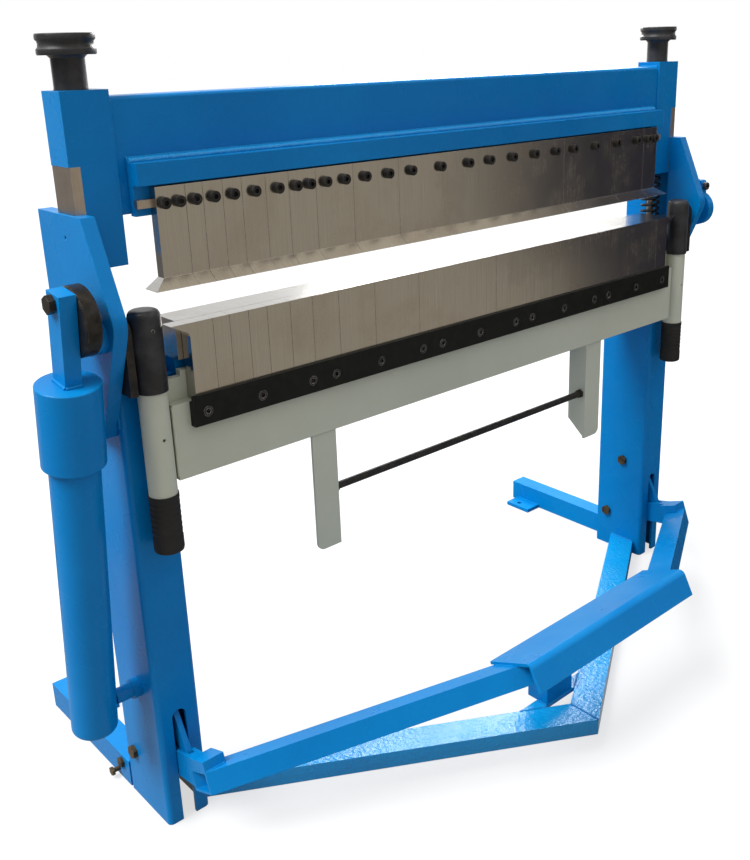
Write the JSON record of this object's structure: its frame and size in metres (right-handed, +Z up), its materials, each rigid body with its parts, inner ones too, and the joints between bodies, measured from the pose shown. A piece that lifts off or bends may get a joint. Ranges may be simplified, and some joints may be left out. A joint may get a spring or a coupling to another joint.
{
  "type": "box and pan folding brake",
  "caption": "Floor standing sheet metal folding brake: a row of clamping fingers pulled down by a foot pedal, and a hinged bending apron with two handles.",
  "frame": {"origin": "on the floor, midway between the two anchor holes of the rear feet", "axes": "+X to the right along the work, as the operator sees it; +Y away from the operator; +Z up"},
  "size_m": [1.6581, 0.8949, 1.32],
  "materials": {
    "blue_paint": "semi-gloss",
    "cream_paint": "satin",
    "ground_steel": "ground",
    "bright_steel": "bright",
    "black_steel": "black oxide",
    "black_plastic": "satin",
    "black_rubber": "matte"
  },
  "bodies": {
    "frame": {"left_column": "blue_paint", "right_column": "blue_paint", "left_side_plate": "blue_paint", "right_side_plate": "blue_paint", "spring_seats": "blue_paint", "bed_beam": "blue_paint", "bed_plate": "ground_steel", "floor_bars": "blue_paint", "pedal_stop": "blue_paint", "rear_feet": "blue_paint", "strut_anchor_pin": "blue_paint", "hinge_bushes": "blue_paint", "column_bolts": "black_steel", "foot_screws": "bright_steel", "springs": "black_steel"},
    "beam": {"clamp_beam": "blue_paint", "beam_lip": "blue_paint", "finger_bar": "blue_paint", "finger_key": "ground_steel", "left_end_block": "blue_paint", "right_end_block": "blue_paint", "slide_bars": "ground_steel", "finger_01": "ground_steel", "finger_02": "ground_steel", "finger_03": "ground_steel", "finger_04": "ground_steel", "finger_05": "ground_steel", "finger_06": "ground_steel", "finger_07": "ground_steel", "finger_08": "ground_steel", "finger_09": "ground_steel", "finger_10": "ground_steel", "finger_11": "ground_steel", "finger_12": "ground_steel", "finger_13": "ground_steel", "finger_screws": "black_steel", "pull_rods": "bright_steel", "pull_links": "blue_paint"},
    "apron": {"apron_beam": "cream_paint", "apron_blades": "ground_steel", "clamp_bars": "black_steel", "apron_screws": "black_steel", "end_plates": "cream_paint", "handle_tubes": "cream_paint", "top_grips": "black_plastic", "lower_grips": "black_rubber", "truss_posts": "cream_paint", "truss_rod": "black_steel", "hinge_arms": "black_steel", "crank_disc": "black_steel", "crank_pin": "black_steel", "angle_collar": "blue_paint"},
    "strut": {"strut_bar": "blue_paint", "strut_cap": "blue_paint"},
    "strut_foot": {"strut_tube": "blue_paint"},
    "pedal": {"pedal_pad": "blue_paint", "pedal_tubes": "blue_paint", "pedal_levers": "blue_paint"},
    "left_knob_body": {"left_knob": "black_plastic"},
    "right_knob_body": {"right_knob": "black_plastic"}
  },
  "joints": [
    {"name": "beam_lift", "type": "slide", "parent": "frame", "child": "beam", "axis": [0, 0, 1], "range_m": [-0.0475, 0], "stiffness_N_per_m": 8000, "springref_m": 0.17, "deforming": ["springs"]},
    {"name": "pedal_swing", "type": "hinge", "parent": "frame", "child": "pedal", "pos_m": [0, -0.3166, 0.098], "axis": [1, 0, 0], "range_deg": [0, 20.5]},
    {"name": "apron_fold", "type": "hinge", "parent": "frame", "child": "apron", "pos_m": [0, -0.4466, 0.903], "axis": [-1, 0, 0], "range_deg": [0, 135]},
    {"name": "strut_swing", "type": "hinge", "parent": "apron", "child": "strut", "pos_m": [-0.8131, -0.4666, 0.969], "axis": [-1, 0, 0], "range_deg": [-127, 0]},
    {"name": "strut_slide", "type": "slide", "parent": "strut", "child": "strut_foot", "axis": [0, -0.1398, 0.9902], "range_m": [0, 0.088]},
    {"name": "left_knob_turn", "type": "hinge", "parent": "beam", "child": "left_knob_body", "pos_m": [-0.714, -0.3626, 1.253], "axis": [0, 0, 1], "continuous": true},
    {"name": "right_knob_turn", "type": "hinge", "parent": "beam", "child": "right_knob_body", "pos_m": [0.714, -0.3626, 1.253], "axis": [0, 0, 1], "continuous": true}
  ],
  "couplings": [
    {"joint": "pedal_swing", "follows": "beam_lift", "rad_per_m": -7.532},
    {"joint": "strut_swing", "follows": "apron_fold", "ratio": -0.94},
    {"joint": "strut_slide", "follows": "apron_fold", "m_per_rad": 0.0372}
  ]
}
